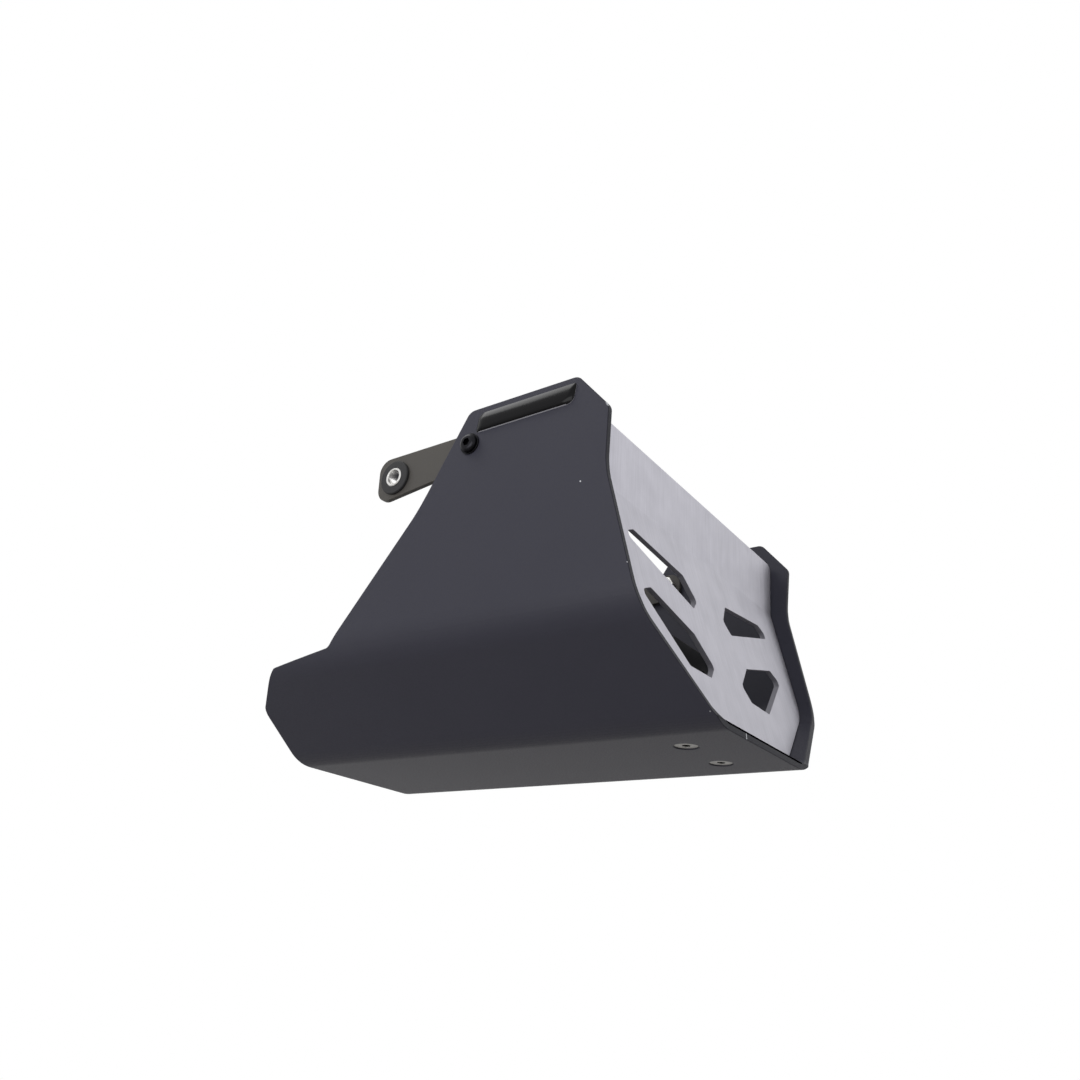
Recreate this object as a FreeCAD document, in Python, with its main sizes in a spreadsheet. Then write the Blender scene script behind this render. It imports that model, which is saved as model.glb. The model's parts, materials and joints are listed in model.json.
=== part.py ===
"""Engine guard of a small motorbike: a folded belly pan, a slotted front plate and the hardware on them.

Millimetres. +X points to the front of the bike, +Y to its left and +Z up. The origin is on the underside
of the pan's flat bottom, halfway along its length and on its mirror plane.
"""
import FreeCAD, Part
import math
import os
import re
import Sketcher

V = FreeCAD.Vector
SIDES = {"right": -1, "left": 1}
NEAR = 1e-4  # millimetres within which two places count as one

# Driving sizes, in millimetres and degrees
SIZES = {
    # belly pan: folded section
    "pan_length": 280.0,
    "sheet_thickness": 3.5,
    "bottom_width": 104.0,
    "shoulder_width": 217.0,
    "shoulder_height": 43.0,
    "wall_height": 167.0,
    "wall_flare": 3.4,
    "bend_radius": 14.0,
    # belly pan: outline seen from the side
    "front_setback": 30.0,
    "kink_height": 114.0,
    "kink_radius": 40.0,
    "nose_lead": 1.7,
    "nose_drop": 21.6,
    "nose_run": 18.0,
    "top_edge_length": 69.7,
    "rear_kink_height": 116.0,
    "rear_kink_run": 32.0,
    "rear_kink_radius": 120.0,
    "tail_length": 72.0,
    "tail_rise": 4.5,
    "tail_drop": 1.2,
    "tail_corner_run": 26.0,
    "tail_corner_height": 25.0,
    "outline_radius": 6.0,
    # front plate
    "plate_thickness": 3.0,
    "plate_inset": 10.0,
    "plate_top_drop": 17.2,
    "plate_gap": 0.4,
    "plate_bend_radius": 4.0,
    "plate_corner_radius": 5.0,
    "foot_length": 38.0,
    "foot_width": 80.0,
    "slot_radius": 2.5,
    # countersunk screws through the bottom
    "thread_diameter": 6.0,
    "screw_hole": 6.6,
    "thread_gap": 0.05,
    "plate_screw_setback": 34.0,
    "plate_screw_spacing": 40.0,
    "plate_screw_length": 20.0,
    "countersink_diameter": 13.0,
    "head_recess": 0.5,
    "hex_key": 4.0,
    "key_depth": 2.2,
    # washers and lock nuts
    "washer_diameter": 12.0,
    "washer_thickness": 1.0,
    "nut_flats": 10.0,
    "nut_height": 6.0,
    # button-head screws through the walls
    "side_screw_setback": 114.5,
    "side_screw_drop": 20.2,
    "side_screw_length": 16.0,
    "button_diameter": 10.5,
    "button_height": 2.6,
    "button_rim": 0.7,
    "button_top": 6.0,
    # side straps and their rubber-mounted eyes
    "strap_thickness": 3.0,
    "strap_front_width": 18.0,
    "strap_rear_width": 27.0,
    "strap_reach": 56.0,
    "strap_drop": 5.0,
    "strap_corner": 8.0,
    "eye_diameter": 15.0,
    "grommet_diameter": 20.0,
    "grommet_lip": 2.0,
    "sleeve_diameter": 11.0,
    "sleeve_bore": 8.4,
    "sleeve_length": 8.0,
    # front bracket
    "bracket_thickness": 3.0,
    "bracket_width": 70.0,
    "bracket_foot": 27.0,
    "bracket_height": 62.0,
    "bracket_bend_radius": 3.0,
    "bracket_corner": 8.0,
    "engine_hole": 8.5,
    "engine_hole_spacing": 44.0,
    "engine_hole_height": 48.0,
    # badge on the right wall
    "badge_length": 62.0,
    "badge_width": 11.0,
    "badge_slant": 2.0,
    "badge_thickness": 1.8,
    "badge_corner": 2.0,
    "badge_bevel": 1.0,
    "badge_setback": 78.8,
    "badge_below_top": 9.2,
}

# Corners of the air slots as distance from the mirror plane and height, from the inner top corner round
UPPER_SLOT = {
    "inner_top": (26.0, 90.0),
    "inner": (16.5, 78.0),
    "inner_low": (23.0, 71.5),
    "outer": (87.0, 90.5),
    "outer_top": (76.0, 96.0),
}
LOWER_SLOT = {
    "inner_top": (32.0, 54.0),
    "inner": (17.0, 40.0),
    "inner_low": (24.5, 32.5),
    "low": (47.5, 32.0),
    "outer": (83.0, 60.0),
    "outer_top": (72.0, 65.0),
}

# Sizes that follow from the driving ones
DERIVED = {
    "front_x": "pan_length / 2",
    "facet_angle": "atan(shoulder_height / ((shoulder_width - bottom_width) / 2)) / 1deg",
    "fold_angle": "90 - wall_flare - facet_angle",
    "top_width": "shoulder_width + 2 * (wall_height - shoulder_height) * tan(wall_flare)",
    "lean_angle": "atan(front_setback / (kink_height - sheet_thickness)) / 1deg",
    "kink_x": "front_x - front_setback",
    "front_top_x": "kink_x + nose_lead",
    "nose_x": "front_top_x - nose_run",
    "front_top_height": "wall_height - nose_drop",
    "top_rear_x": "nose_x - top_edge_length",
    "rear_kink_x": "top_rear_x - rear_kink_run",
    "tail_x": "tail_length - front_x",
    "cut_margin": "sheet_thickness * 2",
    "plate_x": "front_x - plate_inset",
    "plate_top_height": "wall_height - plate_top_drop",
    "plate_offset": "sheet_thickness + plate_gap",
    "plate_shoulder_y": "shoulder_width / 2 - plate_offset * (sin(facet_angle) + cos(wall_flare))"
                        " / (1 + cos(fold_angle))",
    "plate_shoulder_z": "shoulder_height + plate_offset * (cos(facet_angle) + sin(wall_flare))"
                        " / (1 + cos(fold_angle))",
    "plate_top_y": "plate_shoulder_y + (plate_top_height - plate_shoulder_z) * tan(wall_flare)",
    "foot_top": "sheet_thickness + plate_thickness",
    "bracket_top": "foot_top + bracket_thickness",
    "plate_screw_x": "front_x - plate_screw_setback",
    "head_diameter": "countersink_diameter - 2 * head_recess",
    "side_screw_x": "front_x - side_screw_setback",
    "side_screw_height": "wall_height - side_screw_drop",
    "badge_height": "wall_height - badge_below_top",
}

doc = FreeCAD.newDocument("engine_guard")
sheet = doc.addObject("Spreadsheet::Sheet", "Sizes")


def slot_name(slot, corner, axis):
    """Name of one coordinate of a slot's corner."""
    return f"{slot}_{corner}_{axis}"


def fill_sheet():
    """Writes every size to a row of the sheet, under its own alias."""
    rows = {name: str(value) for name, value in SIZES.items()}
    for slot, corners in (("upper_slot", UPPER_SLOT), ("lower_slot", LOWER_SLOT)):
        for corner, (y, z) in corners.items():
            rows[slot_name(slot, corner, "y")] = str(y)
            rows[slot_name(slot, corner, "z")] = str(z)
    rows.update({name: "=" + formula for name, formula in DERIVED.items()})
    for row, (name, text) in enumerate(rows.items(), start=1):
        sheet.set(f"A{row}", name)
        sheet.set(f"B{row}", text)
        sheet.setAlias(f"B{row}", name)
    doc.recompute()
    return set(rows)


NAMES = fill_sheet()


def linked(formula):
    """Turns a formula of size names into an expression that reads the sheet."""
    def in_sheet(word):
        name = word.group()
        return f"Sizes.{name}" if name in NAMES else name

    return re.sub(r"[a-z_]+", in_sheet, formula)


def value(formula):
    """Present value of a formula of size names."""
    result = sheet.evalExpression(linked(formula))
    return float(getattr(result, "Value", result))


def bind(thing, prop, formula):
    """Ties a property to a formula of size names."""
    thing.setExpression(prop, linked(formula))


def new_body(label):
    body = doc.addObject("PartDesign::Body", label)
    body.Label = label
    return body


def new_sketch(body, role, name, height=None):
    """Sketch on one of the body's own origin planes, raised along its normal where a height is given."""
    sketch = body.newObject("Sketcher::SketchObject", name)
    plane = next(part for part in body.Origin.OriginFeatures if part.Role == role)
    sketch.AttachmentSupport = (plane, [""])
    sketch.MapMode = "FlatFace"
    if height:
        bind(sketch, "AttachmentOffset.Base.z", height)
    return sketch


def pin_coordinate(sketch, kind, axis, point, formula):
    """Holds one coordinate of a point at a formula, on whichever side of the origin it lies."""
    place = value(formula)
    if abs(place) < NEAR:
        sketch.addConstraint(Sketcher.Constraint("PointOnObject", *point, axis))
        return
    if place > 0:
        index = sketch.addConstraint(Sketcher.Constraint(kind, -1, 1, *point, place))
        bind(sketch, f"Constraints[{index}]", formula)
    else:
        index = sketch.addConstraint(Sketcher.Constraint(kind, *point, -1, 1, -place))
        bind(sketch, f"Constraints[{index}]", f"-({formula})")


def pin_point(sketch, point, across, up):
    """Holds both coordinates of a sketch point at formulas."""
    pin_coordinate(sketch, "DistanceX", -2, point, across)
    pin_coordinate(sketch, "DistanceY", -1, point, up)


def rounded_ends(points, radii):
    """Per corner: the end of the edge that arrives, the start of the one that leaves, the arc's centre."""
    ends = []
    count = len(points)
    for index, (corner, radius) in enumerate(zip(points, radii)):
        back = (points[index - 1] - corner).normalize()
        ahead = (points[(index + 1) % count] - corner).normalize()
        half = back.getAngle(ahead) / 2
        reach = radius / math.tan(half)
        middle = (back + ahead).normalize() * (radius / math.sin(half))
        ends.append((corner + back * reach, corner + ahead * reach, corner + middle))
    return ends


def outline(sketch, corners):
    """Closed outline through corners: formulas across and up, and a radius where one is rounded."""
    points = [V(value(corner[0]), value(corner[1]), 0) for corner in corners]
    radii = [value(corner[2]) if len(corner) > 2 else 0.0 for corner in corners]
    ends = rounded_ends(points, radii)
    first = sketch.GeometryCount
    count = len(points)
    for index in range(count):
        start, finish = ends[index][1], ends[(index + 1) % count][0]
        sketch.addGeometry(Part.LineSegment(start, finish), False)
    for index, corner in enumerate(corners):
        edge, before = first + index, first + (index - 1) % count
        if not radii[index]:
            sketch.addConstraint(Sketcher.Constraint("Coincident", before, 2, edge, 1))
            pin_point(sketch, (edge, 1), corner[0], corner[1])
            continue
        arrive, leave, centre = ends[index]
        left_turn = (points[index] - points[index - 1]).cross(leave - points[index]).z > 0
        start, finish = (arrive, leave) if left_turn else (leave, arrive)
        angles = [math.atan2(end.y - centre.y, end.x - centre.x) for end in (start, finish)]
        whole = Part.Circle(centre, V(0, 0, 1), radii[index])
        arc = sketch.addGeometry(Part.ArcOfCircle(whole, *angles), False)
        sharp = sketch.addGeometry(Part.Point(points[index]), True)
        pin_point(sketch, (sharp, 1), corner[0], corner[1])
        sketch.addConstraint(Sketcher.Constraint("PointOnObject", sharp, 1, before))
        sketch.addConstraint(Sketcher.Constraint("PointOnObject", sharp, 1, edge))
        sketch.addConstraint(Sketcher.Constraint("Tangent", before, 2, arc, 1 if left_turn else 2))
        sketch.addConstraint(Sketcher.Constraint("Tangent", edge, 1, arc, 2 if left_turn else 1))
        size = sketch.addConstraint(Sketcher.Constraint("Radius", arc, radii[index]))
        bind(sketch, f"Constraints[{size}]", corner[2])


def circle(sketch, across, up, diameter):
    """Circle whose centre and diameter are formulas."""
    centre = V(value(across), value(up), 0)
    edge = sketch.addGeometry(Part.Circle(centre, V(0, 0, 1), value(diameter) / 2), False)
    pin_point(sketch, (edge, 3), across, up)
    index = sketch.addConstraint(Sketcher.Constraint("Diameter", edge, value(diameter)))
    bind(sketch, f"Constraints[{index}]", diameter)


def settle(feature):
    """Recomputes, and stops at a feature that failed."""
    doc.recompute()
    if not feature.isValid():
        raise RuntimeError(f"{feature.Label}: {feature.getStatusString()}")
    return feature


def pad(body, sketch, length, name, symmetric=False, reverse=False):
    feature = body.newObject("PartDesign::Pad", name)
    feature.Profile = sketch
    bind(feature, "Length", length)
    feature.SideType = "Symmetric" if symmetric else "One side"
    feature.Reversed = reverse
    return settle(feature)


def pocket(body, sketch, length, name, symmetric=False, reverse=False):
    """Cuts a sketch out of the body, and stops if it cuts nothing."""
    before = body.Shape.Volume
    feature = body.newObject("PartDesign::Pocket", name)
    feature.Profile = sketch
    bind(feature, "Length", length)
    feature.SideType = "Symmetric" if symmetric else "One side"
    feature.Reversed = reverse
    if not settle(feature).Shape.Volume < before:
        raise RuntimeError(f"{name} cut nothing")
    return feature


def revolve(body, sketch, name):
    """Turns a half profile in the XZ plane about the body's Z axis."""
    feature = body.newObject("PartDesign::Revolution", name)
    feature.Profile = sketch
    feature.ReferenceAxis = (sketch, ["V_Axis"])
    feature.Angle = 360.0
    return settle(feature)


def edges_along(shape, axis, places):
    """Names of the straight edges along an axis whose middles lie at the given places across it."""
    names = []
    others = [other for other in range(3) if other != axis]
    for number, edge in enumerate(shape.Edges, start=1):
        span = edge.Vertexes[-1].Point - edge.Vertexes[0].Point
        straight = edge.Curve.TypeId == "Part::GeomLine" and span.Length > 0
        if not straight or abs(abs(span[axis]) - span.Length) > NEAR:
            continue
        middle = edge.CenterOfMass
        if any(math.hypot(middle[others[0]] - a, middle[others[1]] - b) < NEAR for a, b in places):
            names.append(f"Edge{number}")
    return names


def fillet(body, edges, radius, name):
    """Rounds the named edges of the body's present shape."""
    if not edges:
        raise RuntimeError(f"{name} found no edges")
    base = body.Tip
    feature = body.newObject("PartDesign::Fillet", name)
    feature.Base = (base, edges)
    bind(feature, "Radius", radius)
    return settle(feature)


def round_corners(body, axis, corners, radius, name):
    """Rounds edges along an axis that stand at corners given as pairs of formulas."""
    places = [(value(a), value(b)) for a, b in corners]
    return fillet(body, edges_along(body.Shape, axis, places), radius, name)


def both_sides(corners):
    """Adds to the corners their mirror images across the middle plane, in an order that closes the ring."""
    return corners + [(f"-({across})", up) for across, up in reversed(corners)]


def hexagon(sketch, flats):
    """Regular hexagon about the sketch's origin, given its width across flats."""
    outline(sketch, [(f"{flats} / sqrt(3) * cos({60 * turn})", f"{flats} / sqrt(3) * sin({60 * turn})")
                     for turn in range(6)])


def belly_pan():
    """Folded sheet: a shelled prism with rounded folds, trimmed to the side outline and drilled."""
    body = new_body("belly_pan")
    section = new_sketch(body, "YZ_Plane", "pan_section")
    outline(section, both_sides([
        ("bottom_width / 2", "0"),
        ("shoulder_width / 2", "shoulder_height"),
        ("top_width / 2 + cut_margin * tan(wall_flare)", "wall_height + cut_margin"),
    ]))
    pad(body, section, "pan_length + 2 * cut_margin", "pan_blank", symmetric=True)
    folds = both_sides([("bottom_width / 2", "0"), ("shoulder_width / 2", "shoulder_height")])
    blank = round_corners(body, 0, folds, "bend_radius + sheet_thickness", "pan_folds")

    open_faces = []
    for number, face in enumerate(blank.Shape.Faces, start=1):
        end = face.BoundBox.XLength < NEAR
        top = face.BoundBox.ZMin > value("wall_height")
        if end or top:
            open_faces.append(f"Face{number}")
    shell = body.newObject("PartDesign::Thickness", "pan_sheet")
    shell.Base = (blank, open_faces)
    shell.Reversed = True
    shell.Join = "Intersection"
    bind(shell, "Value", "sheet_thickness")
    settle(shell)

    trim = new_sketch(body, "XZ_Plane", "side_outline")
    outline(trim, [
        ("-front_x", "-cut_margin"),
        ("front_x", "-cut_margin"),
        ("front_x", "sheet_thickness"),
        ("kink_x", "kink_height", "kink_radius"),
        ("front_top_x", "front_top_height", "outline_radius"),
        ("nose_x", "wall_height", "outline_radius"),
        ("top_rear_x", "wall_height", "outline_radius"),
        ("rear_kink_x", "rear_kink_height", "rear_kink_radius"),
        ("tail_x", "shoulder_height + tail_rise", "outline_radius"),
        ("tail_corner_run - front_x", "shoulder_height - tail_drop", "outline_radius"),
        ("-front_x", "tail_corner_height", "outline_radius"),
    ])
    outline(trim, [
        ("-front_x - 2 * cut_margin", "-2 * cut_margin"),
        ("front_x + 2 * cut_margin", "-2 * cut_margin"),
        ("front_x + 2 * cut_margin", "wall_height + 2 * cut_margin"),
        ("-front_x - 2 * cut_margin", "wall_height + 2 * cut_margin"),
    ])
    pocket(body, trim, "2 * top_width", "outline_cut", symmetric=True)

    wall_holes = new_sketch(body, "XZ_Plane", "wall_holes")
    circle(wall_holes, "side_screw_x", "side_screw_height", "screw_hole")
    pocket(body, wall_holes, "2 * top_width", "wall_hole_cut", symmetric=True)

    screw_places = new_sketch(body, "XY_Plane", "screw_places")
    for side in SIDES.values():
        circle(screw_places, "plate_screw_x", f"{side} * plate_screw_spacing / 2", "screw_hole")
    doc.recompute()
    holes = body.newObject("PartDesign::Hole", "countersunk_holes")
    holes.Profile = screw_places
    doc.recompute()
    holes.DepthType = "ThroughAll"
    holes.HoleCutType = "Countersink"
    holes.HoleCutCustomValues = True
    holes.HoleCutCountersinkAngle = 90.0
    holes.Reversed = True
    bind(holes, "Diameter", "screw_hole")
    bind(holes, "HoleCutDiameter", "countersink_diameter")
    settle(holes)
    return body


def slot_corners(slot, corners, side):
    """Formulas of a slot's rounded corners on one side of the mirror plane."""
    return [(f"{side} * {slot_name(slot, corner, 'y')}", slot_name(slot, corner, "z"), "slot_radius")
            for corner in corners]


def front_plate():
    """Sheet bent once near its top and folded back at its foot, trimmed to the pan and slotted for air."""
    body = new_body("front_plate")
    back_kink = ("kink_x - plate_inset - plate_thickness",
                 "kink_height - plate_thickness * tan(lean_angle / 2)")
    back_foot = ("plate_x - plate_thickness * cos(lean_angle) / (1 - sin(lean_angle))", "foot_top")
    front_foot = ("plate_x", "sheet_thickness")
    front_kink = ("kink_x - plate_inset", "kink_height")
    section = new_sketch(body, "XZ_Plane", "plate_section")
    outline(section, [
        ("plate_x - foot_length", "sheet_thickness"),
        front_foot,
        front_kink,
        ("kink_x - plate_inset", "plate_top_height"),
        ("kink_x - plate_inset - plate_thickness", "plate_top_height"),
        back_kink,
        back_foot,
        ("plate_x - foot_length", "foot_top"),
    ])
    pad(body, section, "top_width", "plate_blank", symmetric=True)
    round_corners(body, 1, [back_foot, front_kink], "plate_bend_radius", "inside_bends")
    round_corners(body, 1, [front_foot, back_kink], "plate_bend_radius + plate_thickness", "outside_bends")

    trim = new_sketch(body, "YZ_Plane", "side_trim")
    for side in SIDES.values():
        outline(trim, [
            (f"{side} * (plate_shoulder_y - plate_shoulder_z / tan(facet_angle))", "0"),
            (f"{side} * plate_shoulder_y", "plate_shoulder_z"),
            (f"{side} * plate_top_y", "plate_top_height"),
            (f"{side} * plate_top_y", "plate_top_height + cut_margin"),
            (f"{side} * top_width", "plate_top_height + cut_margin"),
            (f"{side} * top_width", "0"),
        ])
    pocket(body, trim, "2 * pan_length", "side_cut", symmetric=True)
    round_corners(body, 0, both_sides([("plate_shoulder_y", "plate_shoulder_z")]),
                  "bend_radius - plate_gap", "shoulder_rounds")
    round_corners(body, 0, both_sides([("plate_top_y", "plate_top_height")]),
                  "plate_corner_radius", "top_rounds")

    foot_trim = new_sketch(body, "XY_Plane", "foot_trim")
    for side in SIDES.values():
        outline(foot_trim, [
            ("plate_x - foot_length - cut_margin", f"{side} * foot_width / 2"),
            ("front_x", f"{side} * foot_width / 2"),
            ("front_x", f"{side} * top_width"),
            ("plate_x - foot_length - cut_margin", f"{side} * top_width"),
        ])
    pocket(body, foot_trim, "foot_top + plate_bend_radius", "foot_cut", reverse=True)

    slots = new_sketch(body, "YZ_Plane", "air_slots")
    for side in SIDES.values():
        for slot, corners in (("upper_slot", UPPER_SLOT), ("lower_slot", LOWER_SLOT)):
            outline(slots, slot_corners(slot, corners, side))
    pocket(body, slots, "2 * pan_length", "slot_cut", symmetric=True)

    holes = new_sketch(body, "XY_Plane", "foot_holes")
    for side in SIDES.values():
        circle(holes, "plate_screw_x", f"{side} * plate_screw_spacing / 2", "screw_hole")
    pocket(body, holes, "foot_top + cut_margin", "foot_hole_cut", reverse=True)
    return body


def front_bracket():
    """Steel angle clamped on the plate's foot, with an upright for the engine's bolts."""
    body = new_body("front_bracket")
    rear = "plate_x - foot_length"
    inner_bend = (f"{rear} + bracket_thickness", "bracket_top")
    outer_bend = (rear, "foot_top")
    section = new_sketch(body, "XZ_Plane", "bracket_section")
    outline(section, [
        outer_bend,
        (f"{rear} + bracket_foot", "foot_top"),
        (f"{rear} + bracket_foot", "bracket_top"),
        inner_bend,
        (f"{rear} + bracket_thickness", "bracket_height"),
        (rear, "bracket_height"),
    ])
    pad(body, section, "bracket_width", "bracket_blank", symmetric=True)
    round_corners(body, 1, [inner_bend], "bracket_bend_radius", "inside_bend")
    round_corners(body, 1, [outer_bend], "bracket_bend_radius + bracket_thickness", "outside_bend")
    round_corners(body, 0, both_sides([("bracket_width / 2", "bracket_height")]),
                  "bracket_corner", "top_rounds")

    foot_holes = new_sketch(body, "XY_Plane", "foot_holes")
    engine_holes = new_sketch(body, "YZ_Plane", "engine_holes")
    for side in SIDES.values():
        circle(foot_holes, "plate_screw_x", f"{side} * plate_screw_spacing / 2", "screw_hole")
        circle(engine_holes, f"{side} * engine_hole_spacing / 2", "engine_hole_height", "engine_hole")
    pocket(body, foot_holes, "bracket_top + cut_margin", "foot_hole_cut", reverse=True)
    pocket(body, engine_holes, "2 * pan_length", "engine_hole_cut", symmetric=True)
    return body


def put_on_bottom(body, side, height):
    """Stands a turned piece on the axis of a plate screw, with its own Z upwards."""
    bind(body, "Placement", f"placement(vector(plate_screw_x; {side} * plate_screw_spacing / 2; {height});"
                            " rotation(vector(1; 0; 0); 0))")


def put_on_wall(body, side, along, height, outwards, up="0", inwards=False):
    """Seats a piece on a wall, its own Z along the wall's outward normal, or along the inward one.

    along and height name the point on the outer face, outwards lifts the piece off that face and up slides
    it along the face.
    """
    across = f"shoulder_width / 2 + ({height} - shoulder_height) * tan(wall_flare)"
    y = f"{side} * ({across} + ({outwards}) * cos(wall_flare) + ({up}) * sin(wall_flare))"
    z = f"{height} - ({outwards}) * sin(wall_flare) + ({up}) * cos(wall_flare)"
    angle = f"{side} * (90 - wall_flare)" if inwards else f"{-side} * (90 + wall_flare)"
    bind(body, "Placement", f"placement(vector({along}; {y}; {z}); rotation(vector(1; 0; 0); {angle}))")


def socket(body, name, height=None, reverse=False):
    """Hexagon key socket in a screw's head."""
    sketch = new_sketch(body, "XY_Plane", name, height)
    hexagon(sketch, "hex_key")
    pocket(body, sketch, "key_depth", f"{name}_cut", reverse=reverse)


def plate_screw(label):
    """Countersunk screw: its head's flat face is at the body's origin and the shank runs up."""
    body = new_body(label)
    profile = new_sketch(body, "XZ_Plane", "screw_profile")
    outline(profile, [
        ("0", "0"),
        ("head_diameter / 2", "0"),
        ("thread_diameter / 2", "(head_diameter - thread_diameter) / 2"),
        ("thread_diameter / 2", "plate_screw_length"),
        ("0", "plate_screw_length"),
    ])
    revolve(body, profile, "screw_turned")
    socket(body, "socket", reverse=True)
    return body


def side_screw(label):
    """Button-head screw: the underside of its head is at the body's origin and the shank runs down."""
    body = new_body(label)
    profile = new_sketch(body, "XZ_Plane", "screw_profile")
    outline(profile, [
        ("0", "-side_screw_length"),
        ("thread_diameter / 2", "-side_screw_length"),
        ("thread_diameter / 2", "0"),
        ("button_diameter / 2", "0"),
        ("button_diameter / 2", "button_rim"),
        ("button_top / 2", "button_height"),
        ("0", "button_height"),
    ])
    revolve(body, profile, "screw_turned")
    socket(body, "socket", height="button_height")
    return body


def ring(label, outside, bore, length, symmetric=False):
    """Flat or tall ring about the body's Z axis."""
    body = new_body(label)
    sketch = new_sketch(body, "XY_Plane", "ring_section")
    circle(sketch, "0", "0", outside)
    circle(sketch, "0", "0", bore)
    pad(body, sketch, length, "ring_pad", symmetric=symmetric)
    return body


def lock_nut(label):
    """Hexagon lock nut, standing on the body's origin."""
    body = new_body(label)
    section = new_sketch(body, "XY_Plane", "nut_section")
    hexagon(section, "nut_flats")
    circle(section, "0", "0", "thread_diameter + 2 * thread_gap")
    pad(body, section, "nut_height", "nut_pad")
    return body


def side_bracket(label, side):
    """Strap that lies on a wall's inner face and reaches back to an eye for the bike's bolt.

    The body's origin is on the screw's axis at the strap's outer face, and its own Y points down on the
    left side.
    """
    body = new_body(label)
    strap = [
        ("strap_front_width / 2", "strap_front_width / 2"),
        ("-strap_reach - strap_rear_width / 2", "strap_rear_width / 2 - strap_drop"),
        ("-strap_reach - strap_rear_width / 2", "-strap_rear_width / 2 - strap_drop"),
        ("strap_front_width / 2", "-strap_front_width / 2"),
    ]
    sketch = new_sketch(body, "XY_Plane", "strap_outline")
    outline(sketch, [(along, f"{-side} * ({up})", "strap_corner") for along, up in strap])
    pad(body, sketch, "strap_thickness", "strap_pad", reverse=True)
    holes = new_sketch(body, "XY_Plane", "strap_holes")
    circle(holes, "0", "0", "screw_hole")
    circle(holes, "-strap_reach", f"{side} * strap_drop", "eye_diameter")
    pocket(body, holes, "4 * strap_thickness", "strap_hole_cut", symmetric=True)
    return body


def grommet(label):
    """Rubber ring that clips into the strap's eye, with a lip on either side."""
    body = new_body(label)
    half = "strap_thickness / 2"
    lip = "(strap_thickness / 2 + grommet_lip)"
    profile = new_sketch(body, "XZ_Plane", "grommet_profile")
    outline(profile, [
        ("sleeve_diameter / 2", f"-{lip}"),
        ("grommet_diameter / 2", f"-{lip}"),
        ("grommet_diameter / 2", f"-{half}"),
        ("eye_diameter / 2", f"-{half}"),
        ("eye_diameter / 2", half),
        ("grommet_diameter / 2", half),
        ("grommet_diameter / 2", lip),
        ("sleeve_diameter / 2", lip),
    ])
    revolve(body, profile, "grommet_turned")
    return body


def badge():
    """Plain raised label, a leaning lozenge stuck along the top of the right wall."""
    body = new_body("badge")
    reach = "badge_length / 2"
    lean = "badge_slant / 2"
    corners = [
        (f"-{reach} - {lean}", "-badge_width / 2"),
        (f"{reach} - {lean}", "-badge_width / 2"),
        (f"{reach} + {lean}", "badge_width / 2"),
        (f"-{reach} + {lean}", "badge_width / 2"),
    ]
    sketch = new_sketch(body, "XY_Plane", "badge_outline")
    outline(sketch, [(along, up, "badge_corner") for along, up in corners])
    pad_top = pad(body, sketch, "badge_thickness", "badge_pad")
    top = [f"Edge{number}" for number, edge in enumerate(pad_top.Shape.Edges, start=1)
           if edge.BoundBox.ZMin > value("badge_thickness") - NEAR]
    bevel = body.newObject("PartDesign::Chamfer", "badge_edge")
    bevel.Base = (pad_top, top)
    bind(bevel, "Size", "badge_bevel")
    settle(bevel)
    put_on_wall(body, SIDES["right"], "front_x - badge_setback", "badge_height", "0")
    return body


def bottom_fasteners(name, side):
    """Screw, washer and lock nut that clamp the pan, the plate's foot and the front bracket."""
    screw = plate_screw(f"plate_screw_{name}")
    put_on_bottom(screw, side, "head_recess")
    washer = ring(f"plate_washer_{name}", "washer_diameter", "screw_hole", "washer_thickness")
    put_on_bottom(washer, side, "bracket_top")
    nut = lock_nut(f"plate_nut_{name}")
    put_on_bottom(nut, side, "bracket_top + washer_thickness")
    return [screw, washer, nut]


def side_mount(name, side):
    """Strap behind a wall with its screw, washer and nut, and the rubber-mounted sleeve in its eye."""
    screw_at = ("side_screw_x", "side_screw_height")
    strap_face = "-sheet_thickness"
    eye_at = ("side_screw_x - strap_reach", "side_screw_height")
    eye_middle = "-sheet_thickness - strap_thickness / 2"
    washer = ring(f"side_washer_{name}", "washer_diameter", "screw_hole", "washer_thickness")
    put_on_wall(washer, side, *screw_at, "0")
    screw = side_screw(f"side_screw_{name}")
    put_on_wall(screw, side, *screw_at, "washer_thickness")
    strap = side_bracket(f"side_bracket_{name}", side)
    put_on_wall(strap, side, *screw_at, strap_face)
    nut = lock_nut(f"side_nut_{name}")
    put_on_wall(nut, side, *screw_at, f"{strap_face} - strap_thickness", inwards=True)
    rubber = grommet(f"grommet_{name}")
    put_on_wall(rubber, side, *eye_at, eye_middle, "-strap_drop")
    sleeve = ring(f"sleeve_{name}", "sleeve_diameter", "sleeve_bore", "sleeve_length", symmetric=True)
    put_on_wall(sleeve, side, *eye_at, eye_middle, "-strap_drop")
    return [washer, screw, strap, nut, rubber, sleeve]


pieces = [belly_pan(), front_plate(), front_bracket(), badge()]
for side_name, side_sign in SIDES.items():
    pieces += bottom_fasteners(side_name, side_sign)
    pieces += side_mount(side_name, side_sign)
doc.recompute()

for thing in doc.Objects:
    if "Invalid" in thing.State or "Error" in thing.State:
        raise RuntimeError(f"{thing.Name} failed: {thing.State}")
for piece in pieces:
    if piece.Shape.isNull() or not piece.Shape.isValid() or len(piece.Shape.Solids) != 1:
        raise RuntimeError(f"{piece.Label} is not one valid solid")

os.makedirs("parts", exist_ok=True)
for piece in pieces:
    piece.Shape.exportStep(f"parts/{piece.Label}.step")
    print(f"{piece.Label}: {piece.Shape.Volume / 1000:.2f} cm3")
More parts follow.
